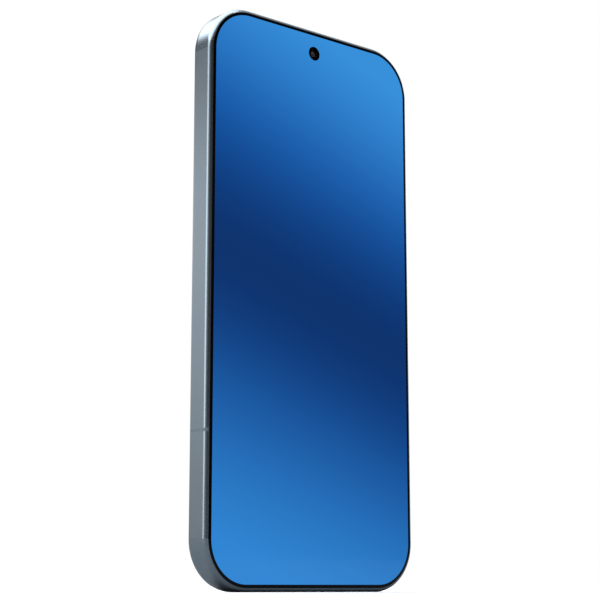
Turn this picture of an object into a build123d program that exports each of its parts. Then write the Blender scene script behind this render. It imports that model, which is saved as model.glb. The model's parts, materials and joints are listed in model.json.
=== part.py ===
from build123d import *
import os

# A touch-screen phone standing upright on its bottom edge, in millimetres.
# +X is right as the user sees the screen, the screen faces -Y and +Z is up.
# The origin is under the middle of the whole phone, camera island included.
# A depth is the distance behind the front face, so it grows towards +Y.

# ---- body
width = 71.2
height = 152.4
thickness = 8.2
corner = 13.0                    # radius of the body's corners, seen from the front
front_round = 1.5                # rounding of the edge round the screen
back_round = 2.0                 # rounding of the edge round the back cover
bump = 2.9                       # island and lens rings, proud of the back cover
rim = 1.0                        # width of the metal rim round each cover
wall = 2.0                       # side wall of the frame
front_y = -(thickness + bump) / 2

# ---- layers, as depths
glass_back = 0.65
seat = 1.05                      # where the cover glass and its adhesive rest on the frame
panel_back = 1.40
cushion_back = 1.60
plate_front = 1.65
plate_back = 2.25
board_front = 2.45
board_back = 3.20
can_back = 4.70
cover_front = 6.30
cover_back = 6.55
battery_back = 6.75
cover_seat = 7.50                # inner face of the back cover
edge_depth = (front_round + thickness - back_round) / 2    # middle of the flat side band

# ---- screen
active_width = 67.5
active_height = 148.7
panel_edge = 0.2                 # dark border of the panel outside the active area
adhesive_width = 0.55
punch_radius = 1.95
punch_z = 145.4
slit_half = 5.5                  # earpiece slit, half its length
slit_width = 0.32

# ---- rear cameras, in a column behind the top corner on the +X side
camera_x = 22.35
camera_z = {"ultrawide": 138.5, "main": 122.9, "telephoto": 107.3}
island_width = 18.5
island_height = 50.0
island_back = thickness + 1.7
module_size = 12.6
module_back = 7.40
bore_radius = 4.28
barrel_radius = 4.20
barrel_front = 4.60
barrel_back = 10.10
tunnel_radius = 5.3              # hole through the island over each lens
ring_radius = 7.1
window_radius = 6.0
window_front = 10.45
window_back = 10.95
flash_x = 8.0
flash_z = 139.5
flash_radius = 3.0

# ---- keys in the +X side wall
key_z = {"power_button": 89.0, "volume_down_button": 106.5, "volume_up_button": 119.0}
key_length = {"power_button": 13.0, "volume_down_button": 10.6, "volume_up_button": 10.6}
key_breadth = 2.5
key_proud = 0.22
key_clearance = 0.06
flex_bottom = 81.0
flex_top = 126.0

# ---- bottom edge
port_width = 8.94                # outside of the charging socket's metal sleeve
port_height = 3.16
port_wall = 0.30
port_start = 0.35
port_length = 7.6
port_depth = 6.0                 # how far a plug goes in
speaker_hole_radius = 0.8
speaker_hole_x = [10.4 + 2.7 * i for i in range(5)]
mic_hole_radius = 0.4
mic_hole_x = -6.3

# ---- card tray, rod and lever
tray_x = -14.8
tray_face = (14.4, 2.4, 0.95)
tray_left = -19.0
tray_right = -8.8
tray_top = 17.0
tray_thickness = 0.8
tray_clearance = 0.06
rod_x = -20.6
rod_radius = 0.45
rod_low = 1.35
rod_high = 18.2
lever_low = 18.4
lever_high = 19.6
lever_reach = tray_x - rod_x
pivot_radius = 0.5
cage = ((-22.0, -8.0), (3.4, 21.8))

# ---- inside
battery_x = (-29.4, 30.8)
battery_z = (29.0, 96.6)
board_x = (-32.5, 11.8)
board_z = (99.2, 149.2)
notch_z = 140.9                  # the board stops here behind the front camera and earpiece
sub_board_x = (-32.0, 8.8)
sub_board_z = (3.3, 25.5)
motor_x = (-7.0, 8.0)
motor_z = (11.5, 20.0)
coil_z = 66.0
coil_radii = (11.0, 21.5)
upper_bosses = [(-29.0, 145.0), (-30.3, 102.0), (9.4, 102.0), (9.4, 146.0)]
lower_bosses = [(-30.0, 23.0), (-25.0, 8.0), (6.0, 23.0)]
bracket_bosses = [(13.9, 115.1), (13.9, 130.7)]
boss_radius = 1.6
screw_radius = 0.6

# ---- antenna breaks in the metal band, each 0.9 wide
break_width = 0.9
break_depth = 0.8
side_break_z = 39.7
top_break_x = -21.0
bottom_break_x = 24.4


# ---------------------------------------------------------------- helpers

def face_at(depth):
    """The plane at a depth: local x is +X, local y is +Z, and it looks out of the screen."""
    return Plane(origin=(0, front_y + depth, 0), x_dir=(1, 0, 0), z_dir=(0, -1, 0))


def plate(across, up, radius, front, back, x=0.0, z=height / 2):
    """A round-cornered plate from one depth to another."""
    outline = face_at(back) * Pos(x, z) * RectangleRounded(across, up, radius)
    return extrude(outline, amount=back - front)


def inset(margin, front, back):
    """A plate with the phone's own outline, drawn in by a margin."""
    return plate(width - 2 * margin, height - 2 * margin, corner - margin, front, back)


def block(xs, zs, front, back):
    """A square block between two x, two z and two depths."""
    middle = ((xs[0] + xs[1]) / 2, front_y + (front + back) / 2, (zs[0] + zs[1]) / 2)
    return Pos(*middle) * Box(xs[1] - xs[0], back - front, zs[1] - zs[0])


def disc(x, z, radius, front, back):
    """A round disc facing the front."""
    return extrude(face_at(back) * Pos(x, z) * Circle(radius), amount=back - front)


def side_slot(length, breadth, z, x_in, x_out, depth=edge_depth):
    """A stadium along Z, pushed through the +X wall."""
    start = Plane(origin=(x_in, front_y + depth, z), x_dir=(0, 0, 1), z_dir=(1, 0, 0))
    return extrude(start * SlotOverall(length, breadth), amount=x_out - x_in)


def bottom_slot(length, breadth, x, z_low, z_high, depth=edge_depth):
    """A stadium along X, pushed up through the bottom wall."""
    start = Plane(origin=(x, front_y + depth, z_low), x_dir=(1, 0, 0), z_dir=(0, 0, 1))
    return extrude(start * SlotOverall(length, breadth), amount=z_high - z_low)


def upright(x, radius, z_low, z_high, depth=edge_depth):
    """A round rod along Z."""
    return Pos(x, front_y + depth, (z_low + z_high) / 2) * Cylinder(radius, z_high - z_low)


def tube(x, z, outer, inner, front, back):
    """A ring facing the front."""
    return disc(x, z, outer, front, back) - disc(x, z, inner, front - 1, back + 1)


def in_cavity(piece, gap=0.15):
    """A piece trimmed so that it stays clear of the frame's inner wall."""
    return piece & inset(wall + gap, plate_back, cover_seat)


# ---------------------------------------------------------------- body and covers

def outer_body():
    """The whole body as one closed shape, before it is split into frame and covers."""
    body = plate(width, height, corner, 0, thickness)
    body = fillet(body.edges().group_by(Axis.Y)[0], front_round)
    return fillet(body.edges().group_by(Axis.Y)[-1], back_round)


def antenna_bands(outer):
    """Plastic breaks across the metal band, let into its outer surface."""
    half = break_width / 2
    mid = width / 2
    cuts = block((-mid - 1, -mid + 3), (side_break_z - half, side_break_z + half), -1, thickness + 1)
    cuts += block((mid - 3, mid + 1), (side_break_z - half, side_break_z + half), -1, thickness + 1)
    cuts += block((top_break_x - half, top_break_x + half), (height - 3, height + 1), -1, thickness + 1)
    cuts += block((bottom_break_x - half, bottom_break_x + half), (-1, 3), -1, thickness + 1)
    band = outer - inset(break_depth, -1, thickness + 1)
    return band & cuts


def speaker_holes():
    return [upright(x, speaker_hole_radius, -1, wall + 0.1) for x in speaker_hole_x]


def frame(outer, bands):
    """The metal frame: side walls, the plate behind the screen, ledges, bosses and openings."""
    body = outer - bands
    body -= inset(rim, -1, seat)
    body -= inset(rim + adhesive_width + 0.05, seat - 0.1, plate_front)
    body -= inset(wall, plate_back, cover_seat)
    body -= inset(rim, cover_seat, thickness + 1)
    for x, z in upper_bosses + lower_bosses + bracket_bosses:
        body += disc(x, z, boss_radius, plate_back - 0.1, cover_front)
    for x, z in upper_bosses + lower_bosses + bracket_bosses:
        body -= disc(x, z, screw_radius, cover_front - 2.5, cover_front + 0.1)
    body -= plate(7.0, 7.0, 1.0, plate_front - 0.1, plate_back + 0.1, 0, punch_z)
    body -= vapor_chamber()
    body -= block((4.5, 13.5), (97.3, 98.3), plate_front - 0.1, plate_back + 0.1)
    body -= block((-slit_half, slit_half), (149.7, height - rim), seat - 0.5, board_front)
    for name in key_z:
        body -= side_slot(key_length[name] + 2 * key_clearance, key_breadth + 2 * key_clearance,
                          key_z[name], width / 2 - wall - 1, width / 2 + 1)
    body -= bottom_slot(port_width, port_height, 0, -1, wall + 0.1)
    mouth = bottom_slot(port_width + 0.5, port_height + 0.5, 0, -0.1, 0.2)
    body -= mouth
    body -= usb_seal()
    for hole in speaker_holes():
        body -= hole
    body -= upright(mic_hole_x, mic_hole_radius, -1, wall + 0.1)
    body -= upright(-top_break_x - 9, mic_hole_radius, height - wall - 0.1, height + 1)
    body -= bottom_slot(tray_face[0] + 2 * tray_clearance, tray_face[1] + 2 * tray_clearance,
                        tray_x, -1, tray_face[2] + 0.05)
    half = tray_thickness / 2 + tray_clearance
    body -= block((tray_left - tray_clearance, tray_right + tray_clearance),
                  (0, wall + 0.1), edge_depth - half, edge_depth + half)
    body -= upright(rod_x, rod_radius + 0.06, 0, wall + 0.1)
    return body


def cover_glass(outer):
    glass = outer & inset(rim, -1, glass_back)
    return glass - block((-slit_half, slit_half), (height - rim - slit_width, height), -1, seat)


def earpiece_mesh():
    return block((-slit_half + 0.05, slit_half - 0.05),
                 (height - rim - slit_width + 0.02, height - rim - 0.02), 0.25, glass_back)


def display_adhesive():
    ring = inset(rim, glass_back, seat) - inset(rim + adhesive_width, glass_back - 1, seat + 1)
    return ring - block((-slit_half, slit_half), (height - 3, height), 0, seat + 1)


def display_panel():
    across = active_width + 2 * panel_edge
    up = active_height + 2 * panel_edge
    panel = plate(across, up, corner - (width - across) / 2, glass_back, panel_back)
    return panel - disc(0, punch_z, punch_radius, 0, panel_back + 1)


def display_cushion():
    sheet = plate(active_width - 1, active_height - 1, 10.5, panel_back, cushion_back)
    sheet -= plate(7.0, 7.0, 1.0, 0, 3, 0, punch_z)
    return sheet - block((4.5, 13.5), (97.0, 98.4), 0, 3)


def back_cover(outer):
    cover = outer & inset(rim, cover_seat, thickness + 1)
    cover -= plate(island_width, island_height, island_width / 2 - 0.01, 0, 20,
                   camera_x, camera_z["main"])
    cover -= disc(flash_x, flash_z, flash_radius, 0, 20)
    return cover - disc(flash_x, flash_z - 9, mic_hole_radius, 0, 20)


def vapor_chamber():
    """A flat heat spreader let into the front of the plate."""
    return plate(34, 58, 3, plate_front, plate_front + 0.35, -13.5, 92)


# ---------------------------------------------------------------- cameras

def camera_island():
    """The raised metal island, with a tunnel for each lens."""
    z = camera_z["main"]
    body = plate(island_width, island_height, island_width / 2 - 0.01, cover_seat, island_back,
                 camera_x, z)
    body = fillet(body.edges().group_by(Axis.Y)[-1], 0.8)
    for lens_z in camera_z.values():
        body -= disc(camera_x, lens_z, tunnel_radius, 0, 20)
    return body


def lens_ring(z):
    ring = tube(camera_x, z, ring_radius, tunnel_radius, island_back, thickness + bump)
    ring -= disc(camera_x, z, window_radius, window_front, 20)
    outer_edges = ring.edges().group_by(Axis.Y)[-1].sort_by(SortBy.LENGTH)[-1]
    return chamfer(outer_edges, 0.3)


def camera_windows():
    return Compound([disc(camera_x, z, window_radius, window_front, window_back)
                     for z in camera_z.values()])


def camera_housing(z):
    """The can round one lens, with the bore its barrel slides in."""
    can = plate(module_size, module_size, 1.0, board_front + 0.5, module_back, camera_x, z)
    return can - disc(camera_x, z, bore_radius, barrel_front - 0.4, module_back + 1)


def lens_barrel(z):
    """A lens barrel with a stepped, dished front."""
    barrel = disc(camera_x, z, barrel_radius, barrel_front, barrel_back)
    barrel -= disc(camera_x, z, 3.4, barrel_back - 0.5, barrel_back + 1)
    barrel -= disc(camera_x, z, 2.5, barrel_back - 1.2, barrel_back + 1)
    return fillet(barrel.edges().group_by(Axis.Y)[0], 0.2)


def camera_sensors():
    return Compound([plate(module_size, module_size, 1.0, board_front, board_front + 0.5,
                           camera_x, z) for z in camera_z.values()])


def camera_bracket():
    """A sheet-metal frame that holds the three camera cans down."""
    sheet = plate(20.0, 49.0, 3.0, cover_front, cover_back, 22.2, camera_z["main"])
    for z in camera_z.values():
        sheet -= plate(module_size + 0.2, module_size + 0.2, 1.0, 0, 20, camera_x, z)
    for x, z in bracket_bosses:
        sheet -= disc(x, z, screw_radius, 0, 20)
    return in_cavity(sheet)


def flash_window():
    return disc(flash_x, flash_z, flash_radius, cover_seat, thickness)


def flash_led():
    return plate(3.4, 3.4, 0.3, cover_seat - 0.8, cover_seat, flash_x, flash_z)


def front_camera():
    can = plate(6.6, 6.6, 0.8, plate_front + 0.1, 6.2, 0, punch_z)
    return can + disc(0, punch_z, 1.7, cushion_back - 0.1, plate_front + 0.2)


def front_camera_lens():
    return disc(0, punch_z, 1.5, glass_back + 0.15, cushion_back - 0.1)


# ---------------------------------------------------------------- side keys

def key(name):
    """A key: cap, shank through the wall, and the flange that keeps it in."""
    z = key_z[name]
    inner = width / 2 - wall - 0.1
    cap = side_slot(key_length[name], key_breadth, z, inner, width / 2 + key_proud)
    cap = fillet(cap.edges().group_by(Axis.X)[-1], 0.15)
    return cap + side_slot(key_length[name] + 1.4, 3.0, z, inner - 0.5, inner + 0.01)


def side_key_flex():
    """The flexible strip with one snap dome behind each key."""
    y = front_y + edge_depth
    strip = Pos(32.2, y, (flex_bottom + flex_top) / 2) * Box(0.2, 2.6, flex_top - flex_bottom)
    for z in key_z.values():
        strip += Pos(32.4, y, z) * Rot(0, 90, 0) * Cylinder(1.1, 0.3)
    return strip


def side_key_bracket():
    y = front_y + edge_depth
    return Pos(31.9, y, (flex_bottom + flex_top) / 2) * Box(0.4, 2.8, flex_top - flex_bottom)


# ---------------------------------------------------------------- bottom edge

def usb_sleeve():
    """The socket's metal sleeve, open at the bottom and closed at its inner end."""
    sleeve = bottom_slot(port_width, port_height, 0, port_start, port_start + port_length)
    return sleeve - bottom_slot(port_width - 2 * port_wall, port_height - 2 * port_wall, 0,
                                port_start - 1, port_start + port_depth + 0.4)


def usb_tongue():
    tongue = block((-3.35, 3.35), (port_start + 0.9, port_start + port_depth + 0.4),
                   edge_depth - 0.35, edge_depth + 0.35)
    return fillet(tongue.edges().group_by(Axis.Z)[0], 0.15)


def usb_seal():
    """The rubber ring in a groove of the wall, round the sleeve."""
    ring = bottom_slot(port_width + 0.7, port_height + 0.7, 0, 0.9, 1.4)
    return ring - bottom_slot(port_width, port_height, 0, 0, wall)


def speaker_mesh():
    return block((9.4, 22.4), (wall + 0.02, wall + 0.22), edge_depth - 1.15, edge_depth + 1.15)


def speaker():
    body = block((9.2, 33.0), (2.5, 25.5), board_front, 6.9)
    return in_cavity(body, 0.2)


def microphones():
    bottom = block((mic_hole_x - 1.0, mic_hole_x + 0.9), (2.1, 3.2), edge_depth - 0.6, edge_depth + 0.6)
    x = -top_break_x - 9
    top = block((x - 1.2, x + 1.2), (149.3, 150.3), edge_depth - 0.6, edge_depth + 0.6)
    rear = block((flash_x - 1.3, flash_x + 1.3), (flash_z - 10.3, flash_z - 7.7), 6.6, cover_seat)
    return Compound([bottom, top, rear])


# ---------------------------------------------------------------- card tray and ejector

def sim_tray():
    """The tray: outer face with a pin hole, and the carrier with the card's opening."""
    face = bottom_slot(tray_face[0], tray_face[1], tray_x, 0, tray_face[2])
    groove = bottom_slot(tray_face[0] + 1, tray_face[1] + 1, tray_x, 0.45, 0.75)
    groove -= bottom_slot(tray_face[0] - 0.4, tray_face[1] - 0.4, tray_x, 0, 1)
    face -= groove
    half = tray_thickness / 2
    carrier = block((tray_left, tray_right), (tray_face[2] - 0.05, tray_top),
                    edge_depth - half, edge_depth + half)
    carrier -= block((tray_left + 0.65, tray_right - 0.65), (3.6, 16.0), edge_depth - 0.2, edge_depth + 1)
    carrier -= block((tray_left + 1.6, tray_right - 1.6), (4.6, 15.0), edge_depth - 1, edge_depth + 1)
    return face + carrier - upright(rod_x, 0.5, -1, 2)


def sim_tray_seal():
    ring = bottom_slot(tray_face[0] + 0.04, tray_face[1] + 0.04, tray_x, 0.45, 0.75)
    return ring - bottom_slot(tray_face[0] - 0.4, tray_face[1] - 0.4, tray_x, 0, 1)


def sim_cage():
    """The reader's metal cage, with the pin that the ejector's lever turns on."""
    xs, zs = cage
    front = board_back
    back = edge_depth + tray_thickness / 2 + 0.45
    shell = block(xs, zs, front, back)
    shell -= block((xs[0] + 0.3, xs[1] - 0.3), (zs[0] - 1, zs[1] - 0.3), front + 0.1, back - 0.2)
    return shell + disc(tray_x, (lever_low + lever_high) / 2, pivot_radius, front, back)


def eject_rod():
    return upright(rod_x, rod_radius, rod_low, rod_high)


def eject_lever():
    """The lever over the tray's inner end; it turns on the cage's pin."""
    middle = (lever_low + lever_high) / 2
    half = tray_thickness / 2
    bar = plate(2 * lever_reach + 0.6, lever_high - lever_low, 0.4, edge_depth - half + 0.05,
                edge_depth + half, tray_x, middle)
    bar += disc(tray_x, middle, 0.95, edge_depth - half + 0.05, edge_depth + half)
    return bar - disc(tray_x, middle, pivot_radius + 0.05, 0, 20)


# ---------------------------------------------------------------- inside

def battery():
    across = battery_x[1] - battery_x[0]
    up = battery_z[1] - battery_z[0]
    return plate(across, up, 2.0, plate_back + 0.2, battery_back,
                 sum(battery_x) / 2, sum(battery_z) / 2)


def battery_adhesive():
    strips = [block((x - 6, x + 6), (battery_z[0] + 3, battery_z[1] - 3), plate_back, plate_back + 0.2)
              for x in (-18.0, 0.7, 19.4)]
    return Compound(strips)


def battery_flex():
    strap = block((-9.0, -3.0), (battery_z[1], 102.4), 4.0, 4.2)
    return strap + block((-9.0, -3.0), (100.2, 102.4), board_back, 4.1)


def main_board():
    """The logic board, notched behind the front camera and earpiece."""
    board = block(board_x, (board_z[0], notch_z), board_front, board_back)
    board += block((board_x[0], -18.6), (notch_z - 1, board_z[1]), board_front, board_back)
    board += block((4.6, board_x[1]), (notch_z - 1, board_z[1]), board_front, board_back)
    for x, z in upper_bosses:
        board -= disc(x, z, boss_radius + 0.15, 0, 20)
    return in_cavity(board)


def board_chips():
    chips = [((-27, -14), (122, 135)), ((-26, -17), (108, 119)), ((-12.5, -9.5), (110, 130)),
             ((-4, 5), (124, 134)), ((-3, 3), (112, 118)), ((6, 9), (110, 120))]
    return Compound([block(xs, zs, board_back, 4.1) for xs, zs in chips])


def shield_can(xs, zs):
    can = block(xs, zs, board_back, can_back)
    return can - block((xs[0] + 0.2, xs[1] - 0.2), (zs[0] + 0.2, zs[1] - 0.2), 0, can_back - 0.2)


def shield_cans():
    return Compound([shield_can((-30, -7), (105, 137.5)), shield_can((-6, 11), (105, 137.5))])


def board_cover():
    """The sheet-metal cover that the four upper screws hold over the board."""
    cover = block((board_x[0], board_x[1] - 0.4), (board_z[0], notch_z), cover_front, cover_back)
    cover += block((board_x[0], -18.6), (notch_z - 1, board_z[1]), cover_front, cover_back)
    cover += block((4.6, board_x[1] - 0.4), (notch_z - 1, board_z[1]), cover_front, cover_back)
    for x, z in upper_bosses:
        cover -= disc(x, z, screw_radius, 0, 20)
    return in_cavity(cover)


def sub_board():
    """The small lower board, cut away round the socket and the vibration motor."""
    board = block(sub_board_x, sub_board_z, board_front, board_back)
    board -= block((-port_width / 2 - 0.4, port_width / 2 + 0.4), (0, 9.4), 0, 20)
    board -= block((motor_x[0] - 0.3, sub_board_x[1] + 1), (motor_z[0] - 0.3, motor_z[1] + 0.3), 0, 20)
    board -= block((-8.0, -5.2), (0, 3.6), 0, 20)
    for x, z in lower_bosses:
        board -= disc(x, z, boss_radius + 0.15, 0, 20)
    return in_cavity(board)


def lower_cover():
    cover = block(sub_board_x, (3.3, sub_board_z[1]), cover_front, cover_back)
    for x, z in lower_bosses:
        cover -= disc(x, z, screw_radius, 0, 20)
    return in_cavity(cover)


def display_flex():
    """The screen's ribbon, which comes through the slot in the plate to the board."""
    ribbon = block((5.0, 13.0), (97.6, 97.9), cushion_back, 4.2)
    ribbon += block((5.0, 7.4), (97.6, 103.4), 4.0, 4.2)
    return ribbon + block((5.0, 7.4), (100.4, 103.4), board_back, 4.1)


def main_flex():
    """The ribbon beside the battery, from the lower board to the logic board."""
    ribbon = block((-33.0, -30.2), (26.0, 98.8), board_front, board_front + 0.2)
    ribbon += block((-33.0, -31.9), (25.9, 26.4), board_front, 3.6)
    ribbon += block((-28.0, -23.0), (19.0, 26.4), 3.4, 3.6)
    ribbon += block((-33.0, -23.0), (25.9, 26.4), 3.4, 3.6)
    return ribbon + block((-28.0, -23.0), (19.0, 21.0), board_back, 3.5)


def vibration_motor():
    """The motor's case, hollow, with its moving mass inside."""
    case = block(motor_x, motor_z, board_front, 6.1)
    return case - block((motor_x[0] + 0.3, motor_x[1] - 0.3), (motor_z[0] + 0.3, motor_z[1] - 0.3),
                        board_front + 0.3, 5.8)


def vibration_mass():
    block_x = (motor_x[0] + 1.2, motor_x[1] - 1.2)
    mass = block(block_x, (motor_z[0] + 0.7, motor_z[1] - 0.7), board_front + 0.6, 5.5)
    return fillet(mass.edges().filter_by(Axis.Y), 0.6)


def earpiece():
    body = block((-18.2, -4.0), (142.6, 149.6), board_front, 5.4)
    nozzle = block((-12.0, slit_half), (149.3, 150.2), board_front, 3.6)
    return in_cavity(body + nozzle)


def charging_shield():
    return plate(47, 47, 5, 6.9, 7.05, 0, coil_z)


def charging_coil():
    """The flat charging coil: a few wide turns, each its own ring, and two leads."""
    inner, outer = coil_radii
    turns = 6
    pitch = (outer - inner) / turns
    rings = [tube(0, coil_z, inner + (i + 0.85) * pitch, inner + i * pitch, 7.05, 7.3)
             for i in range(turns)]
    return Compound(rings)


def screws():
    """Pan-head screws that hold the covers and the bracket to the frame's bosses."""
    made = []
    for x, z in upper_bosses + lower_bosses + bracket_bosses:
        shank = disc(x, z, screw_radius, cover_front - 2.3, cover_back + 0.1)
        head = disc(x, z, 1.3, cover_back, cover_back + 0.4)
        made.append(shank + head - disc(x, z, 0.45, cover_back + 0.2, cover_back + 1))
    return Compound(made)


# ---------------------------------------------------------------- assembly

def build():
    outer = outer_body()
    bands = antenna_bands(outer)
    nodes = {
        "frame": frame(outer, bands), "antenna_bands": bands,
        "cover_glass": cover_glass(outer), "earpiece_mesh": earpiece_mesh(),
        "display_adhesive": display_adhesive(), "display_panel": display_panel(),
        "display_cushion": display_cushion(), "vapor_chamber": vapor_chamber(),
        "back_cover": back_cover(outer), "camera_island": camera_island(),
        "lens_rings": Compound([lens_ring(z) for z in camera_z.values()]),
        "camera_windows": camera_windows(), "camera_sensors": camera_sensors(),
        "camera_bracket": camera_bracket(), "flash_window": flash_window(),
        "flash_led": flash_led(), "front_camera": front_camera(),
        "front_camera_lens": front_camera_lens(), "side_key_flex": side_key_flex(),
        "side_key_bracket": side_key_bracket(), "usb_sleeve": usb_sleeve(),
        "usb_tongue": usb_tongue(), "usb_seal": usb_seal(), "speaker_mesh": speaker_mesh(),
        "speaker": speaker(), "microphones": microphones(), "sim_tray": sim_tray(),
        "sim_tray_seal": sim_tray_seal(), "sim_cage": sim_cage(), "eject_rod": eject_rod(),
        "eject_lever": eject_lever(), "battery": battery(),
        "battery_adhesive": battery_adhesive(), "battery_flex": battery_flex(),
        "main_board": main_board(), "board_chips": board_chips(),
        "shield_cans": shield_cans(), "board_cover": board_cover(), "sub_board": sub_board(),
        "lower_cover": lower_cover(), "display_flex": display_flex(), "main_flex": main_flex(),
        "vibration_motor": vibration_motor(), "vibration_mass": vibration_mass(),
        "earpiece": earpiece(), "charging_shield": charging_shield(),
        "charging_coil": charging_coil(), "screws": screws(),
    }
    for name, z in camera_z.items():
        nodes[name + "_camera"] = camera_housing(z)
        nodes[name + "_lens_barrel"] = lens_barrel(z)
    for name in key_z:
        nodes[name] = key(name)
    return nodes


os.makedirs("parts", exist_ok=True)
for node, piece in build().items():
    export_step(piece, "parts/" + node + ".step")
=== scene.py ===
import json
import math
import random

import bmesh
import bpy
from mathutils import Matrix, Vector


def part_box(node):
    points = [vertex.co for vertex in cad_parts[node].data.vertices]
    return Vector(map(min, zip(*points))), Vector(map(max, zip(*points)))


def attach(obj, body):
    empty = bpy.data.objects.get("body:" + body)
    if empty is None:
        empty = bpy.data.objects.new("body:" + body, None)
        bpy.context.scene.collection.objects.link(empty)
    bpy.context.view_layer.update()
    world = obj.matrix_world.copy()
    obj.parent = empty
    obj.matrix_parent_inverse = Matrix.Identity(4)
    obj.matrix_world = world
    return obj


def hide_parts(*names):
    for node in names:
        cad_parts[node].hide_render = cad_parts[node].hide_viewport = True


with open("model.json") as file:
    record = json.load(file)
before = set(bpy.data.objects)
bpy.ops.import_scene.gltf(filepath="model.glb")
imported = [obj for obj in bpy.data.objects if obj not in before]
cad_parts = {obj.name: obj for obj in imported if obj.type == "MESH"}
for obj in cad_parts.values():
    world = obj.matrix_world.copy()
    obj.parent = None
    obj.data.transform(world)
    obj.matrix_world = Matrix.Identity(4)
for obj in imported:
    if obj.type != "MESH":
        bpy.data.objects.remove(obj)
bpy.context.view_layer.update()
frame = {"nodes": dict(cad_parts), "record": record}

# A touch-screen phone standing upright on its bottom edge. The CAD frame gives the places.
# Blender works in metres, and MM is one millimetre of them.
MM = 0.001


def corners(node):
    """A CAD node's lowest and highest corner, in metres."""
    low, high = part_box(node)
    return Vector(low), Vector(high)


def middle(node):
    """The middle of a CAD node's box, in metres."""
    low, high = corners(node)
    return (low + high) / 2


front_y = corners("cover_glass")[0].y
height = corners("frame")[1].z / MM


def depth_of(y):
    """A place along Y as a depth: how far it is behind the front face, in millimetres."""
    return (y - front_y) / MM


# ---------------------------------------------------------------- node trees

class Nodes:
    """Short ways to add nodes to a tree."""

    def __init__(self, tree):
        self.tree = tree

    def fill(self, socket, source):
        """Links a socket, or sets it to a plain value."""
        if isinstance(source, bpy.types.NodeSocket):
            self.tree.links.new(source, socket)
        else:
            socket.default_value = source

    def node(self, kind, *sources, **settings):
        """Adds a node, sets its options and fills its inputs in order."""
        made = self.tree.nodes.new(kind)
        for key, value in settings.items():
            setattr(made, key, value)
        for socket, source in zip(made.inputs, sources):
            self.fill(socket, source)
        return made

    def calc(self, operation, *sources):
        """A sum, a sine and so on, of plain values or sockets."""
        return self.node("ShaderNodeMath", *sources, operation=operation).outputs[0]

    def ramp(self, value, stops, blend="B_SPLINE"):
        """A colour from a list of (position, colour)."""
        made = self.node("ShaderNodeValToRGB", value)
        made.color_ramp.interpolation = blend
        items = made.color_ramp.elements
        while len(items) < len(stops):
            items.new(0.5)
        for item, (position, colour) in zip(items, stops):
            item.position = position
            item.color = colour
        return made.outputs[0]


# ---------------------------------------------------------------- camera, light and floor

def make_camera():
    """A long lens low in front of the phone and to its left, tilted up at it."""
    data = bpy.data.cameras.new("camera")
    data.lens = 91.9
    data.sensor_width = 36.0
    data.clip_start = 0.01
    data.clip_end = 20.0
    tilt_up, turn_right = 10.58, 40.54
    camera = bpy.data.objects.new("camera", data)
    camera.location = (-0.2640, -0.3082, 0.0015)
    camera.rotation_euler = (math.radians(90 + tilt_up), 0, math.radians(-turn_right))
    bpy.context.scene.collection.objects.link(camera)
    bpy.context.scene.camera = camera


def soft_panel(name, place, size, power, colour=(1, 1, 1)):
    """A large soft light that faces the middle of the phone."""
    data = bpy.data.lights.new(name, "AREA")
    data.shape = "RECTANGLE"
    data.size, data.size_y = size
    data.energy = power
    data.color = colour
    light = bpy.data.objects.new(name, data)
    light.location = place
    aim = Vector((0, 0, height * MM / 2)) - Vector(place)
    light.rotation_euler = aim.to_track_quat("-Z", "Y").to_euler()
    light.visible_camera = False
    bpy.context.scene.collection.objects.link(light)


def make_lights():
    """A soft key light from above, and two broad panels beside and behind."""
    data = bpy.data.lights.new("key", "SUN")
    data.energy = 2.8
    data.angle = math.radians(84)
    heading = Vector((0.30, -0.10, -0.95))
    key = bpy.data.objects.new("key", data)
    key.rotation_euler = heading.to_track_quat("-Z", "Y").to_euler()
    bpy.context.scene.collection.objects.link(key)
    soft_panel("panel_left", (-1.10, 0.30, 0.45), (0.60, 0.90), 2.0, (0.95, 0.98, 1.0))
    soft_panel("panel_right", (1.00, 0.60, 0.60), (0.80, 0.80), 2.5)


def make_world():
    """White to the eye. To the phone: a bright ceiling, mid walls and a dark front."""
    world = bpy.data.worlds.new("studio")
    bpy.context.scene.world = world
    world.use_nodes = True
    world.node_tree.nodes.clear()
    sky = Nodes(world.node_tree)

    def greys(source, stops):
        """A grey level from a list of (position, level)."""
        return sky.ramp(source, [(place, (level, level, level, 1)) for place, level in stops],
                        "EASE")

    direction = sky.node("ShaderNodeTexCoord").outputs["Generated"]
    split = sky.node("ShaderNodeSeparateXYZ", direction)
    up = split.outputs["Z"]
    to_back = sky.calc("MULTIPLY_ADD", split.outputs["Y"], 0.5, 0.5)
    walls = greys(to_back, [(0.16, 0.07), (0.42, 0.40), (0.56, 0.95), (0.72, 0.72), (1.00, 0.72)])
    low_part = greys(up, [(0.0, 0.50), (0.16, 0.95), (0.25, 1.42), (0.345, 0.25)])
    high_part = greys(up, [(0.52, 0.0), (0.66, 2.1)])
    ceiling = greys(to_back, [(0.50, 0.14), (0.70, 0.20), (0.86, 0.95)])
    total = sky.calc("ADD", sky.calc("MULTIPLY", walls, low_part),
                     sky.calc("MULTIPLY", high_part, ceiling))

    studio = sky.node("ShaderNodeBackground", (0.96, 0.98, 1.0, 1), total)
    white = sky.node("ShaderNodeBackground", (1, 1, 1, 1))
    seen = sky.node("ShaderNodeLightPath").outputs["Is Camera Ray"]
    mix = sky.node("ShaderNodeMixShader", seen, studio.outputs[0], white.outputs[0])
    sky.node("ShaderNodeOutputWorld", mix.outputs[0])


# ---------------------------------------------------------------- material helpers

def tone(red, green, blue):
    """A colour given as 0 to 255 display values."""
    linear = []
    for value in (red, green, blue):
        share = value / 255
        linear.append(share / 12.92 if share <= 0.04045 else ((share + 0.055) / 1.055) ** 2.4)
    return (*linear, 1.0)


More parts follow.
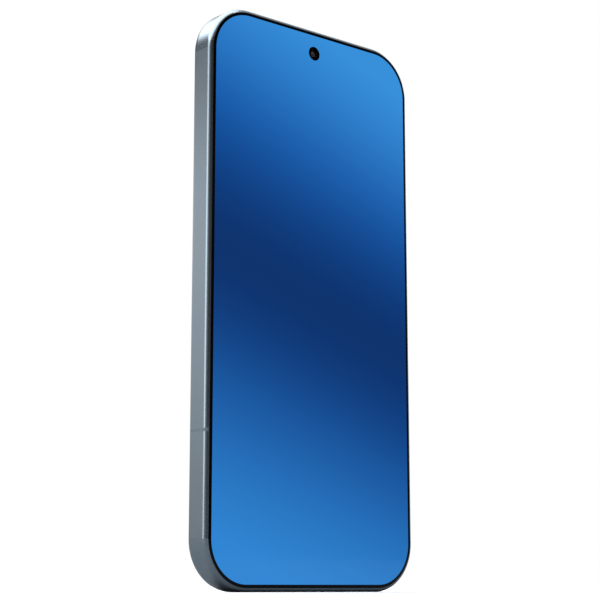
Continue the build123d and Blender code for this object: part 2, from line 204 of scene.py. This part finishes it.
class Paint(Nodes):
    """One material, with short ways to add nodes to it."""

    def __init__(self, name, **fixed):
        self.material = bpy.data.materials.new(name)
        self.material.use_nodes = True
        super().__init__(self.material.node_tree)
        self.shader = self.tree.nodes["Principled BSDF"]
        self.place = self.node("ShaderNodeTexCoord").outputs["Object"]
        for key, value in fixed.items():
            self.shader.inputs[key.replace("_", " ")].default_value = value

    def wire(self, name, source):
        """Links one of the shader's inputs."""
        self.fill(self.shader.inputs[name], source)

    def rise(self, value, low, high):
        """0 below low and 1 above high, or the other way when low is the larger."""
        made = self.node("ShaderNodeMapRange", value, low, high, 0.0, 1.0,
                         interpolation_type="SMOOTHSTEP")
        return made.outputs[0]

    def span(self, value, low, high):
        """A 0 to 1 value spread between two numbers."""
        return self.node("ShaderNodeMapRange", value, 0.0, 1.0, low, high).outputs[0]

    def mix(self, factor, first, second):
        """The first colour at factor 0 and the second at factor 1."""
        made = self.node("ShaderNodeMix", factor, data_type="RGBA")
        colour_inputs = [socket for socket in made.inputs if socket.type == "RGBA"]
        for socket, source in zip(colour_inputs, (first, second)):
            self.fill(socket, source)
        return next(socket for socket in made.outputs if socket.type == "RGBA")

    def noise(self, size, detail=3.0, stretch=(1, 1, 1)):
        """Noise whose features are about this size, in millimetres."""
        place = self.place
        if stretch != (1, 1, 1):
            place = self.node("ShaderNodeVectorMath", self.place, stretch,
                              operation="MULTIPLY").outputs[0]
        made = self.node("ShaderNodeTexNoise", place)
        made.inputs["Scale"].default_value = 1 / (size * MM)
        made.inputs["Detail"].default_value = detail
        return made.outputs[0]

    def along(self, axis):
        """The point's place along one axis, in millimetres."""
        made = self.node("ShaderNodeSeparateXYZ", self.place)
        return self.calc("MULTIPLY", made.outputs[axis], 1 / MM)

    def bump(self, source, strength, distance):
        """Raises the surface by a texture; distance is in millimetres."""
        made = self.node("ShaderNodeBump")
        made.inputs["Strength"].default_value = strength
        made.inputs["Distance"].default_value = distance * MM
        self.fill(made.inputs["Height"], source)
        self.wire("Normal", made.outputs[0])


def surface(name, colour, roughness, grain=0.15, depth=0.01, spread=0.06, tint=0.10, **fixed):
    """A plain material with fine grain, and colour and gloss that vary softly."""
    paint = Paint(name, **fixed)
    dark = tuple(c * (1 - tint) for c in colour[:3]) + (1.0,)
    light = tuple(min(c * (1 + tint), 1.0) for c in colour[:3]) + (1.0,)
    clouds = paint.noise(9.0, 4.0)
    fine = paint.noise(grain, 2.0)
    both = paint.calc("ADD", paint.calc("MULTIPLY", clouds, 0.7), paint.calc("MULTIPLY", fine, 0.3))
    paint.wire("Base Color", paint.mix(both, dark, light))
    paint.wire("Roughness", paint.span(both, roughness - spread, roughness + spread))
    paint.bump(fine, 0.35, depth)
    return paint.material


# ---------------------------------------------------------------- the screen's picture

def disc(paint, x, z, centre, radius):
    """How far a point is from a disc's centre, as a share of its radius."""
    across = paint.calc("SUBTRACT", x, centre[0])
    up = paint.calc("SUBTRACT", z, centre[1])
    squares = paint.calc("ADD", paint.calc("MULTIPLY", across, across),
                         paint.calc("MULTIPLY", up, up))
    return paint.calc("DIVIDE", paint.calc("SQRT", squares), radius)


def screen_mask(paint, x, z):
    """1 inside the lit area, a rectangle with round corners, and 0 outside it."""
    low, high = corners("display_panel")
    border = 0.2
    half_x = (high.x - low.x) / 2 / MM - border
    half_z = (high.z - low.z) / 2 / MM - border
    radius = 11.15
    softness = 0.04
    from_middle = paint.calc("SUBTRACT", z, height / 2)
    past_x = paint.calc("SUBTRACT", paint.calc("ABSOLUTE", x), half_x - radius)
    past_z = paint.calc("SUBTRACT", paint.calc("ABSOLUTE", from_middle), half_z - radius)
    out_x = paint.calc("MAXIMUM", past_x, 0.0)
    out_z = paint.calc("MAXIMUM", past_z, 0.0)
    outside = paint.calc("SQRT", paint.calc("ADD", paint.calc("MULTIPLY", out_x, out_x),
                                            paint.calc("MULTIPLY", out_z, out_z)))
    inside = paint.calc("MINIMUM", paint.calc("MAXIMUM", past_x, past_z), 0.0)
    distance = paint.calc("SUBTRACT", paint.calc("ADD", outside, inside), radius)
    return paint.rise(distance, softness, -softness)


def picture(paint, x, z):
    """A plain gradient of blues, up the screen and a little across it."""
    lean = 0.35
    share = paint.calc("DIVIDE", paint.calc("MULTIPLY_ADD", x, lean, z), height)
    return paint.ramp(share, [
        (0.00, tone(52, 142, 220)), (0.28, tone(14, 72, 150)), (0.52, tone(6, 26, 66)),
        (0.76, tone(12, 84, 172)), (1.00, tone(60, 152, 226))])


def screen_paint():
    """Polished glass with a black printed border and the lit picture inside it."""
    paint = Paint("screen_glass", IOR=1.45, Specular_IOR_Level=0.28, Emission_Strength=1.0)
    x, z = paint.along("X"), paint.along("Z")
    lens = middle("front_camera_lens")
    hole_radius = 1.96
    reach = disc(paint, x, z, (lens.x / MM, lens.z / MM), hole_radius)
    outside_hole = paint.rise(reach, 0.985, 1.015)
    lit = paint.calc("MULTIPLY", screen_mask(paint, x, z), outside_hole)
    smudge = paint.noise(14.0, 5.0)
    paint.wire("Base Color", paint.mix(smudge, tone(3, 3, 4), tone(7, 7, 9)))
    paint.wire("Roughness", paint.span(smudge, 0.04, 0.09))
    paint.wire("Emission Color", paint.mix(lit, tone(0, 0, 0), picture(paint, x, z)))
    return paint.material


# ---------------------------------------------------------------- other materials

def satin_metal(name, colour, roughness):
    """Fine-blasted, anodised aluminium."""
    return surface(name, colour, roughness, grain=0.09, depth=0.006, spread=0.05, tint=0.05,
                   Metallic=1.0)


def frosted_glass(name, colour):
    """The back cover: glass coloured from inside, with a matt etched face."""
    paint = Paint(name, Coat_Weight=0.25, Coat_Roughness=0.22, IOR=1.5)
    level = paint.calc("DIVIDE", paint.along("Z"), height)
    deep = tuple(c * 0.80 for c in colour[:3]) + (1.0,)
    clouds = paint.noise(30.0, 2.0)
    shade = paint.calc("ADD", paint.calc("MULTIPLY", level, 0.6),
                       paint.calc("MULTIPLY", clouds, 0.4))
    sparkle = paint.rise(paint.noise(0.06, 1.0), 0.68, 0.78)
    base = paint.mix(shade, deep, colour)
    bright = tuple(min(c * 1.5, 1.0) for c in colour[:3]) + (1.0,)
    paint.wire("Base Color", paint.mix(paint.calc("MULTIPLY", sparkle, 0.5), base, bright))
    paint.wire("Roughness", paint.span(paint.noise(0.2, 2.0), 0.36, 0.46))
    paint.bump(paint.noise(0.12, 2.0), 0.25, 0.004)
    return paint.material


def clear_glass(name, tint=(0.96, 0.98, 1.0, 1.0), index=1.13, **fixed):
    """Anti-glare lens glass, with faint dust marks in its gloss."""
    paint = Paint(name, Transmission_Weight=1.0, IOR=index, **fixed)
    marks = paint.noise(1.5, 4.0)
    paint.wire("Base Color", paint.mix(marks, tint, (1.0, 1.0, 1.0, 1.0)))
    paint.wire("Roughness", paint.span(marks, 0.0, 0.03))
    return paint.material


def painted_lens_coating(name, place, radius, painted_shade_tone, ring, glint):
    """A coated lens element with tinted gloss. Its colour holds painted light: a dark centre and rim
    as painted shade, and a coloured ring between them as a painted reflection of the coating.
    """
    paint = Paint(name, IOR=1.6, Specular_Tint=glint)
    reach = disc(paint, paint.along("X"), paint.along("Z"), (place.x / MM, place.z / MM), radius)
    # Painted shade in the middle and at the rim, and the coating's painted reflection in the ring
    # between.
    paint.wire("Base Color", paint.ramp(reach, [
        (0.00, painted_shade_tone), (0.40, painted_shade_tone), (0.62, ring), (0.82, ring), (1.00, painted_shade_tone)]))
    paint.wire("Roughness", paint.span(paint.noise(0.8, 3.0), 0.02, 0.06))
    return paint.material


def woven_mesh(name):
    """Fine wire cloth: two sets of wires that cross, with the holes between painted dark as painted
    shade.
    """
    paint = Paint(name, Metallic=1.0)
    wire_pitch = 0.22
    turns = 2 * math.pi / wire_pitch
    warp = paint.calc("SINE", paint.calc("MULTIPLY", paint.along("X"), turns))
    across = paint.calc("ADD", paint.along("Z"), paint.along("Y"))
    weft = paint.calc("SINE", paint.calc("MULTIPLY", across, turns))
    wires = paint.calc("MAXIMUM", warp, weft)
    # The holes take a near-black colour: painted shade of the hollow behind the cloth.
    paint.wire("Base Color", paint.mix(paint.rise(wires, 0.0, 0.6), tone(8, 8, 9), tone(92, 94, 98)))
    paint.wire("Roughness", paint.span(paint.noise(0.5), 0.35, 0.5))
    paint.bump(wires, 0.6, 0.03)
    return paint.material


def circuit_board(name):
    """Dark solder mask over fine copper tracks, with bare pads."""
    paint = Paint(name, Coat_Weight=0.4, Coat_Roughness=0.2)
    turns = paint.calc("MULTIPLY", paint.along("X"), 9.0)
    bend = paint.calc("MULTIPLY", paint.noise(6.0, 2.0), 9.0)
    tracks = paint.calc("SINE", paint.calc("ADD", turns, bend))
    lines = paint.rise(tracks, 0.55, 0.85)
    pad_pitch = 1.1 * MM
    pads = paint.node("ShaderNodeTexVoronoi", paint.place)
    pads.inputs["Scale"].default_value = 1 / pad_pitch
    pad = paint.rise(pads.outputs["Distance"], 0.20, 0.14)
    mask = paint.mix(lines, tone(8, 34, 30), tone(16, 62, 52))
    paint.wire("Base Color", paint.mix(pad, mask, tone(196, 158, 84)))
    paint.wire("Metallic", paint.calc("MULTIPLY", pad, 0.9))
    paint.wire("Roughness", paint.span(pad, 0.42, 0.28))
    paint.bump(lines, 0.4, 0.01)
    return paint.material


def flex_film(name):
    """Amber film with fine parallel tracks under it."""
    paint = Paint(name, Coat_Weight=0.5, Coat_Roughness=0.15)
    across = paint.calc("ADD", paint.along("X"), paint.along("Y"))
    tracks = paint.calc("SINE", paint.calc("MULTIPLY", across, 24.0))
    lines = paint.rise(tracks, 0.0, 0.5)
    paint.wire("Base Color", paint.mix(lines, tone(92, 52, 18), tone(150, 88, 34)))
    paint.wire("Roughness", paint.span(paint.noise(2.0), 0.26, 0.40))
    paint.bump(lines, 0.3, 0.01)
    return paint.material


def wound_copper(name):
    """Enamelled copper wire."""
    paint = Paint(name, Metallic=1.0, Coat_Weight=0.3)
    shade = paint.noise(1.2, 3.0)
    paint.wire("Base Color", paint.mix(shade, tone(150, 78, 44), tone(206, 124, 80)))
    paint.wire("Roughness", paint.span(shade, 0.22, 0.36))
    paint.bump(paint.noise(0.08), 0.2, 0.004)
    return paint.material


def stamped_steel(name, colour=(0.50, 0.50, 0.51, 1.0), roughness=0.34):
    """Rolled sheet steel, brushed along the phone."""
    paint = Paint(name, Metallic=1.0)
    lines = paint.noise(0.12, 3.0, stretch=(1, 1, 0.05))
    dark = tuple(c * 0.86 for c in colour[:3]) + (1.0,)
    paint.wire("Base Color", paint.mix(lines, dark, colour))
    paint.wire("Roughness", paint.span(lines, roughness - 0.08, roughness + 0.08))
    paint.bump(lines, 0.25, 0.006)
    return paint.material


def pouch_wrap(name):
    """The battery's black foil wrap, with faint creases."""
    paint = Paint(name)
    creases = paint.noise(5.0, 6.0)
    fine = paint.noise(0.3, 2.0)
    paint.wire("Base Color", paint.mix(creases, tone(26, 27, 29), tone(48, 49, 52)))
    paint.wire("Roughness", paint.span(creases, 0.34, 0.58))
    paint.bump(paint.calc("ADD", creases, paint.calc("MULTIPLY", fine, 0.2)), 0.4, 0.08)
    return paint.material


def phosphor(name):
    """The flash's yellow phosphor, a little grainy."""
    return surface(name, tone(236, 204, 96), 0.5, grain=0.1, depth=0.01, tint=0.15)


def make_materials():
    """One material for each of the record's slots."""
    return {
        "frame_metal": satin_metal("frame_metal", tone(158, 171, 181), 0.23),
        "island_metal": satin_metal("island_metal", tone(150, 164, 175), 0.26),
        "ring_metal": satin_metal("ring_metal", tone(176, 188, 198), 0.18),
        "band_plastic": surface("band_plastic", tone(120, 132, 142), 0.42, tint=0.06),
        "cover_glass": screen_paint(),
        "display": surface("display", tone(10, 12, 16), 0.18, depth=0.002),
        "mesh": woven_mesh("mesh"),
        "black_adhesive": surface("black_adhesive", tone(14, 14, 15), 0.7),
        "foam": surface("foam", tone(46, 47, 50), 0.85, grain=0.3, depth=0.05),
        "copper": wound_copper("copper"),
        "back_glass": frosted_glass("back_glass", tone(128, 146, 160)),
        "window_glass": clear_glass("window_glass"),
        "circuit_board": circuit_board("circuit_board"),
        "sheet_steel": stamped_steel("sheet_steel"),
        "diffuser": clear_glass("diffuser", (1.0, 0.97, 0.90, 1.0), 1.42),
        "led": phosphor("led"),
        "camera_black": surface("camera_black", tone(12, 12, 13), 0.42, grain=0.1,
                                Specular_IOR_Level=0.3),
        "flex_film": flex_film("flex_film"),
        "black_plastic": surface("black_plastic", tone(22, 22, 24), 0.5, grain=0.2, depth=0.02),
        "seal_rubber": surface("seal_rubber", tone(24, 24, 25), 0.75),
        "battery_wrap": pouch_wrap("battery_wrap"),
        "chip_epoxy": surface("chip_epoxy", tone(30, 30, 32), 0.55, grain=0.1, depth=0.01),
        "tungsten": stamped_steel("tungsten", (0.30, 0.30, 0.31, 1.0), 0.5),
    }


# ---------------------------------------------------------------- mesh helpers

def finish_piece(piece, body, material, angle=35):
    """Shades a new piece, gives it its material and fixes it to its body."""
    mesh = piece.data
    for face in mesh.polygons:
        face.use_smooth = True
    mesh.set_sharp_from_angle(angle=math.radians(angle))
    mesh.materials.clear()
    mesh.materials.append(material)
    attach(piece, body)


def piece_from(name, shape):
    """A new object from a bmesh, in the shared frame."""
    bmesh.ops.recalc_face_normals(shape, faces=shape.faces)
    mesh = bpy.data.meshes.new(name)
    shape.to_mesh(mesh)
    shape.free()
    piece = bpy.data.objects.new(name, mesh)
    bpy.context.scene.collection.objects.link(piece)
    return piece


def lathe(name, x, z, profile, segments=96):
    """A turned piece about an axis along Y; the profile is (radius, depth) in millimetres."""
    shape = bmesh.new()
    rings = []
    for radius, depth in profile:
        y = front_y + depth * MM
        if radius == 0:
            rings.append([shape.verts.new((x, y, z))])
            continue
        ring = []
        for step in range(segments):
            angle = 2 * math.pi * step / segments
            ring.append(shape.verts.new((x + radius * MM * math.cos(angle), y,
                                         z + radius * MM * math.sin(angle))))
        rings.append(ring)
    closed = profile[0][0] > 0 and profile[-1][0] > 0
    pairs = list(zip(rings, rings[1:])) + ([(rings[-1], rings[0])] if closed else [])
    for low, high in pairs:
        for step in range(segments):
            after = (step + 1) % segments
            loop = [low[step % len(low)], low[after % len(low)],
                    high[after % len(high)], high[step % len(high)]]
            unique = list(dict.fromkeys(loop))
            if len(unique) > 2:
                shape.faces.new(unique)
    return piece_from(name, shape)


def add_block(shape, centre, size, bevel):
    """Adds a block with softened edges to a bmesh; all in metres."""
    made = bmesh.ops.create_cube(shape, size=1.0)["verts"]
    for vert in made:
        vert.co = Vector(centre) + Vector([a * b for a, b in zip(vert.co, size)])
    edges = {edge for vert in made for edge in vert.link_edges}
    bmesh.ops.bevel(shape, geom=list(edges), offset=bevel, segments=2, affect="EDGES",
                    profile=0.5, clamp_overlap=True)


def cut_copy(node, name, cutter):
    """A copy of a CAD node's mesh with a shape cut out of it."""
    piece = frame["nodes"][node].copy()
    piece.data = piece.data.copy()
    piece.name = name
    piece.parent = None
    bpy.context.scene.collection.objects.link(piece)
    knife = piece.modifiers.new("cut", "BOOLEAN")
    knife.object = cutter
    knife.solver = "EXACT"
    bpy.context.view_layer.update()
    graph = bpy.context.evaluated_depsgraph_get()
    mesh = bpy.data.meshes.new_from_object(piece.evaluated_get(graph))
    bpy.data.objects.remove(piece)
    bpy.data.objects.remove(cutter)
    made = bpy.data.objects.new(name, mesh)
    bpy.context.scene.collection.objects.link(made)
    return made


def dome(radius, edge, crown, steps=10):
    """The profile of a domed face: from its crown on the axis out to its edge."""
    points = []
    for step in range(steps + 1):
        share = step / steps
        points.append((radius * share, crown + (edge - crown) * share * share))
    return points


# ---------------------------------------------------------------- screen and front camera

def make_screen(paints):
    """The cover glass with its clear window, and the front camera behind the window."""
    lens = middle("front_camera_lens")
    window = 1.90
    through = [(0, -1), (window, -1), (window, 3), (0, 3)]
    cutter = lathe("cutter", lens.x, lens.z, through)
    glass = cut_copy("cover_glass", "screen_glass", cutter)
    finish_piece(glass, "phone", paints["cover_glass"], 20)
    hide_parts("cover_glass")

    rim = window - 0.01
    pane = lathe("front_camera_window", lens.x, lens.z,
                 [(0, 0.01), (rim, 0.01), (rim, 0.30), (0, 0.30)])
    finish_piece(pane, "phone", paints["window_glass"])

    funnel = lathe("front_camera_funnel", lens.x, lens.z,
                   [(1.88, 0.32), (1.88, 1.36), (0.50, 1.36), (0.50, 0.98), (0.86, 0.74),
                    (1.30, 0.60), (1.70, 0.34)])
    soot = surface("soot_black", tone(5, 5, 6), 0.6, grain=0.1, Specular_IOR_Level=0.08)
    finish_piece(funnel, "phone", soot)

    bezel = lathe("front_camera_bezel", lens.x, lens.z,
                  [(0.46, 0.50), (0.58, 0.44), (0.70, 0.50), (0.80, 0.64), (0.80, 1.00),
                   (0.46, 1.00)])
    nose = surface("front_nose", tone(96, 82, 80), 0.38, depth=0.0, tint=0.0)
    finish_piece(bezel, "phone", nose)

    glass_radius = 0.44
    element = lathe("front_camera_element", lens.x, lens.z,
                    dome(glass_radius, 0.60, 0.50) + [(glass_radius, 1.30), (0, 1.30)])
    # The pale ring painted on this element is a painted reflection, and its dark middle is painted
    # shade.
    coating = painted_lens_coating("front_coating", lens, glass_radius, tone(8, 8, 10), tone(168, 146, 140),
                           (1.0, 0.8, 0.7, 1.0))
    finish_piece(element, "phone", coating)
    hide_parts("front_camera_lens")


# ---------------------------------------------------------------- rear cameras and flash

# The colour of each camera's coating, painted as a reflection ring on its inner element, and that of
# its glints.
rear_cameras = {"ultrawide": (tone(62, 40, 110), (0.62, 0.42, 1.0, 1.0)),
                "main": (tone(34, 66, 124), (0.35, 0.60, 1.0, 1.0)),
                "telephoto": (tone(36, 88, 86), (0.35, 0.95, 0.8, 1.0))}


def make_rear_lens(name, paints, coating_reflection_tone, glint):
    """What shows of one rear camera: printed ring, stepped bezel, two elements and an iris."""
    body = name + "_lens"
    spot = middle(name + "_lens_barrel")
    top = depth_of(corners(name + "_lens_barrel")[1].y)
    window_front = depth_of(corners("camera_windows")[0].y)
    glass, inner_glass = 2.60, 1.30

    ring = lathe(name + "_printed_ring", spot.x, spot.z,
                 [(4.55, window_front - 0.05), (5.96, window_front - 0.05),
                  (5.96, window_front - 0.01), (4.55, window_front - 0.01)])
    finish_piece(ring, "phone", paints["camera_black"])

    bezel = lathe(name + "_bezel", spot.x, spot.z,
                  [(3.38, top - 0.48), (3.38, top - 0.06), (3.20, top - 0.10),
                   (3.02, top - 0.34), (2.62, top - 0.40), (2.62, top - 0.48)])
    finish_piece(bezel, body, paints["camera_black"])

    element = lathe(name + "_front_element", spot.x, spot.z,
                    dome(glass, top - 0.46, top - 0.12, 16)
                    + [(glass, top - 0.49), (2.45, top - 0.49), (2.45, top - 0.70),
                       (0, top - 0.60)])
    clear = clear_glass(name + "_front_glass", index=1.3, Specular_Tint=glint)
    finish_piece(element, body, clear)

    iris = lathe(name + "_iris", spot.x, spot.z,
                 [(1.20, top - 0.98), (1.30, top - 0.94), (1.75, top - 0.90), (1.80, top - 0.80),
                  (2.45, top - 0.76), (2.45, top - 1.05), (1.20, top - 1.05)])
    finish_piece(iris, body, paints["camera_black"])

    inner_element = lathe(name + "_inner_element", spot.x, spot.z,
                          dome(inner_glass, top - 1.16, top - 0.96, 12)
                          + [(inner_glass, top - 1.19), (0, top - 1.19)])
    # The coloured ring painted on the inner element is a painted reflection, and its dark middle is
    # painted shade.
    coating = painted_lens_coating(name + "_coating", spot, inner_glass, tone(3, 3, 5), coating_reflection_tone, glint)
    finish_piece(inner_element, body, coating)


def make_lens_rings(paints):
    """The polished rings round the rear camera windows."""
    low, high = corners("lens_rings")
    base, top = depth_of(low.y), depth_of(high.y)
    outer = (high.x - low.x) / 2 / MM
    low, high = corners("camera_windows")
    clearance = 0.02
    seat = (high.x - low.x) / 2 / MM + clearance
    step = depth_of(high.y) - 0.58
    tunnel = 5.3
    for name in rear_cameras:
        spot = middle(name + "_lens_barrel")
        ring = lathe(name + "_ring", spot.x, spot.z,
                     [(outer, base), (outer, top - 0.42), (outer - 0.03, top - 0.27),
                      (outer - 0.12, top - 0.12), (outer - 0.27, top - 0.03),
                      (outer - 0.42, top), (seat + 0.22, top), (seat + 0.08, top - 0.03),
                      (seat, top - 0.10), (seat, step), (tunnel, step), (tunnel, base)], 128)
        finish_piece(ring, "phone", paints["ring_metal"])
        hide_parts("lens_rings")


def make_flash(paints):
    """The flash window as two pieces: an optic with ridged rings, and a pane over it."""
    low, high = corners("flash_window")
    spot = middle("flash_window")
    inner = depth_of(low.y)
    radius = (high.x - low.x) / 2 / MM - 0.15
    rings = 7
    pitch = radius / rings
    ridge, valley, back = inner + 0.22, inner + 0.10, inner + 0.60
    profile = [(0, valley)]
    for ring in range(rings):
        profile += [((ring + 0.9) * pitch, ridge), ((ring + 1.0) * pitch, valley)]
    profile += [(radius, back), (0, back)]
    optic = lathe("flash_optic", spot.x, spot.z, profile)
    finish_piece(optic, "phone", paints["diffuser"], 15)
    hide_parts("flash_window")

    bevel = 0.04
    rim = radius + 0.14
    front, back = inner + 0.62, inner + 0.70
    pane = lathe("flash_pane", spot.x, spot.z,
                 [(0, front), (rim - bevel, front), (rim, front + bevel), (rim, back - 0.02),
                  (rim - bevel, back), (0, back)])
    finish_piece(pane, "phone", paints["diffuser"])


# ---------------------------------------------------------------- bottom edge

def make_contacts():
    """The gold contacts on both faces of the charging socket's tongue."""
    low, high = corners("usb_tongue")
    gold = surface("contact_gold", tone(222, 180, 96), 0.25, grain=0.05, depth=0.002, Metallic=1.0)
    count = 12
    pitch = 0.5 * MM
    size = (0.26 * MM, 0.05 * MM, 3.6 * MM)
    raised, bevel = 0.02 * MM, 0.02 * MM
    middle_z = low.z + 2.4 * MM
    shape = bmesh.new()
    for face_y in (low.y - raised, high.y + raised):
        for step in range(count):
            x = (step - (count - 1) / 2) * pitch
            add_block(shape, (x, face_y, middle_z), size, bevel)
    finish_piece(piece_from("socket_contacts", shape), "phone", gold)


def make_card():
    """The small card in the tray, with a clipped corner and its contact pads."""
    width, length, clip = 8.8 * MM, 12.3 * MM, 1.6 * MM
    left, foot = -18.3 * MM, 3.65 * MM
    right, top = left + width, foot + length
    tray_middle = middle("sim_tray").y
    front, back = tray_middle - 0.18 * MM, tray_middle + 0.42 * MM
    outline = [(left, foot), (right, foot), (right, top - clip), (right - clip, top), (left, top)]
    shape = bmesh.new()
    face = shape.faces.new([shape.verts.new((x, front, z)) for x, z in outline])
    grown = bmesh.ops.extrude_face_region(shape, geom=[face])["geom"]
    for item in grown:
        if isinstance(item, bmesh.types.BMVert):
            item.co.y = back
    bmesh.ops.bevel(shape, geom=list(shape.edges), offset=0.05 * MM, segments=2,
                    affect="EDGES", profile=0.5)
    white = surface("card_plastic", tone(226, 228, 230), 0.4, tint=0.04)
    finish_piece(piece_from("sim_card", shape), "card_tray", white)

    gold = surface("card_gold", tone(220, 182, 104), 0.28, grain=0.05, depth=0.002, Metallic=1.0)
    columns, rows = 2, 4
    column_pitch, row_pitch = 3.6 * MM, 2.4 * MM
    pad_size = (3.0 * MM, 0.05 * MM, 2.0 * MM)
    pads = bmesh.new()
    for column in range(columns):
        x = (left + right) / 2 + (column - (columns - 1) / 2) * column_pitch
        for row in range(rows):
            z = (foot + top) / 2 + (row - (rows - 1) / 2) * row_pitch
            add_block(pads, (x, front - 0.01 * MM, z), pad_size, 0.02 * MM)
    finish_piece(piece_from("card_contacts", pads), "card_tray", gold)


# ---------------------------------------------------------------- inside

def make_coil(paints):
    """The charging coil, wound as one flat spiral."""
    low, high = corners("charging_coil")
    centre = middle("charging_coil")
    wire = 0.46 * (high.y - low.y)
    inner, outer = 11.1 * MM, (high.x - low.x) / 2 - wire
    turns, per_turn = 16, 60
    curve = bpy.data.curves.new("coil_line", "CURVE")
    curve.dimensions = "3D"
    curve.bevel_depth = wire
    curve.bevel_resolution = 2
    line = curve.splines.new("POLY")
    line.points.add(turns * per_turn - 1)
    for index, point in enumerate(line.points):
        share = index / (turns * per_turn - 1)
        radius = inner + (outer - inner) * share
        angle = 2 * math.pi * turns * share
        point.co = (centre.x + radius * math.cos(angle), centre.y,
                    centre.z + radius * math.sin(angle), 1)
    holder = bpy.data.objects.new("coil_line", curve)
    mesh = bpy.data.meshes.new_from_object(holder)
    bpy.data.objects.remove(holder)
    coil = bpy.data.objects.new("coil_winding", mesh)
    bpy.context.scene.collection.objects.link(coil)
    finish_piece(coil, "phone", paints["copper"])
    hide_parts("charging_coil")


def make_battery(paints):
    """The battery, a pouch with soft edges."""
    low, high = corners("battery")
    shape = bmesh.new()
    add_block(shape, middle("battery"), high - low, 0.9 * MM)
    pouch = piece_from("battery_pouch", shape)
    finish_piece(pouch, "phone", paints["battery_wrap"])
    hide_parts("battery")


def scatter_parts(board, areas, seed, paints):
    """Small components on a board: grey bodies in one piece, bright end caps in another.

    Each area is (left, bottom, right, top, count), in millimetres.
    """
    rng = random.Random(seed)
    board_back = corners(board)[1].y
    bodies, caps = bmesh.new(), bmesh.new()
    for left, bottom, right, top, count in areas:
        for _ in range(count):
            x = rng.uniform(left, right) * MM
            z = rng.uniform(bottom, top) * MM
            long = rng.choice((0.8, 1.0, 1.2)) * MM
            wide = long * 0.5
            tall = rng.choice((0.35, 0.45)) * MM
            turned = rng.random() < 0.5
            size = (wide, tall, long) if turned else (long, tall, wide)
            y = board_back + tall / 2
            add_block(bodies, (x, y, z), size, 0.05 * MM)
            for side in (-1, 1):
                shift = side * (long / 2)
                place = (x, y, z + shift) if turned else (x + shift, y, z)
                cap = (wide * 1.06, tall * 1.06, long * 0.22)
                cap = cap if turned else (cap[2], cap[1], cap[0])
                add_block(caps, place, cap, 0.03 * MM)
    finish_piece(piece_from(board + "_parts", bodies), "phone", paints["chip_epoxy"])
    finish_piece(piece_from(board + "_part_ends", caps), "phone",
                 paints["sheet_steel"])


# ---------------------------------------------------------------- assembly

def paint_cad_nodes(paints):
    """Every CAD node that still shows gets the material of its slot."""
    for part in frame["record"]["subparts"]:
        mesh = frame["nodes"][part["node"]].data
        mesh.materials.clear()
        mesh.materials.append(paints[part["material_slot"]])


def make_floor():
    """A plain floor: white to the eye, and grey to the phone, so its foot doesn't glare."""
    shape = bmesh.new()
    bmesh.ops.create_circle(shape, cap_ends=True, segments=96, radius=4.0)
    floor = piece_from("floor", shape)
    paint = Paint("floor", Roughness=0.9)
    seen = paint.node("ShaderNodeLightPath").outputs["Is Camera Ray"]
    paint.wire("Base Color", paint.mix(seen, tone(128, 132, 136), tone(252, 252, 252)))
    floor.data.materials.append(paint.material)


def build():
    """Sets up the studio, then makes everything that the CAD frame doesn't hold."""
    make_camera()
    make_world()
    make_lights()
    make_floor()
    paints = make_materials()
    paint_cad_nodes(paints)
    make_screen(paints)
    for name, (coating_reflection_tone, glint) in rear_cameras.items():
        make_rear_lens(name, paints, coating_reflection_tone, glint)
    make_lens_rings(paints)
    make_flash(paints)
    make_contacts()
    make_card()
    make_coil(paints)
    make_battery(paints)
    scatter_parts("main_board", [(-31, 139, -19.5, 147, 26), (-29, 99.8, 8, 101.2, 16)], 3, paints)
    scatter_parts("sub_board", [(-30, 10, -24, 18, 12)], 5, paints)
    bpy.context.scene.view_settings.view_transform = "Standard"


build()
